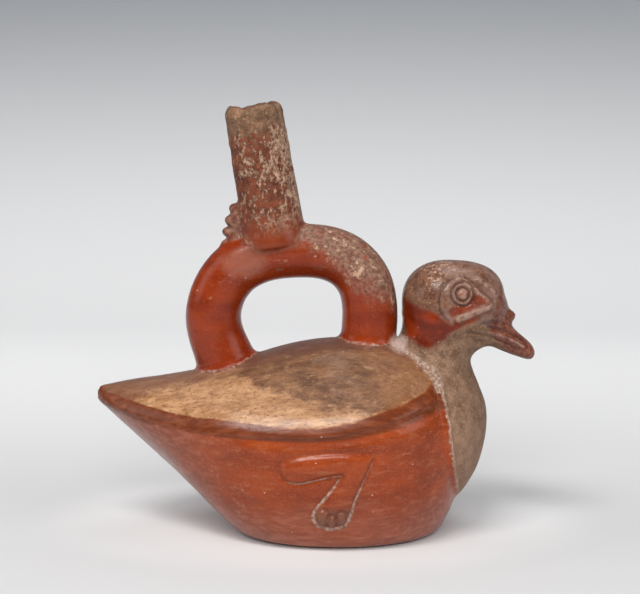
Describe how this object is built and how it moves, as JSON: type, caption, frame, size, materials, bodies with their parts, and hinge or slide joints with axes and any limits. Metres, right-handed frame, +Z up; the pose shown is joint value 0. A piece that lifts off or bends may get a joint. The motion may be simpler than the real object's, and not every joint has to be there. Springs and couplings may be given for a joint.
{
  "type": "stirrup spout vessel",
  "caption": "Hollow fired-clay vessel in the form of a resting duck, with a stirrup handle on its back and a leaning, worn spout.",
  "frame": {"origin": "on the plane of the flat base, under the middle of the vessel's length and width", "axes": "+X along the duck's length towards the beak, +Z up, the duck's two sides at +Y and -Y"},
  "size_m": [0.1774, 0.0898, 0.1729],
  "materials": {
    "clay": "burnished"
  },
  "bodies": {
    "root": {"vessel": "clay"}
  },
  "joints": []
}
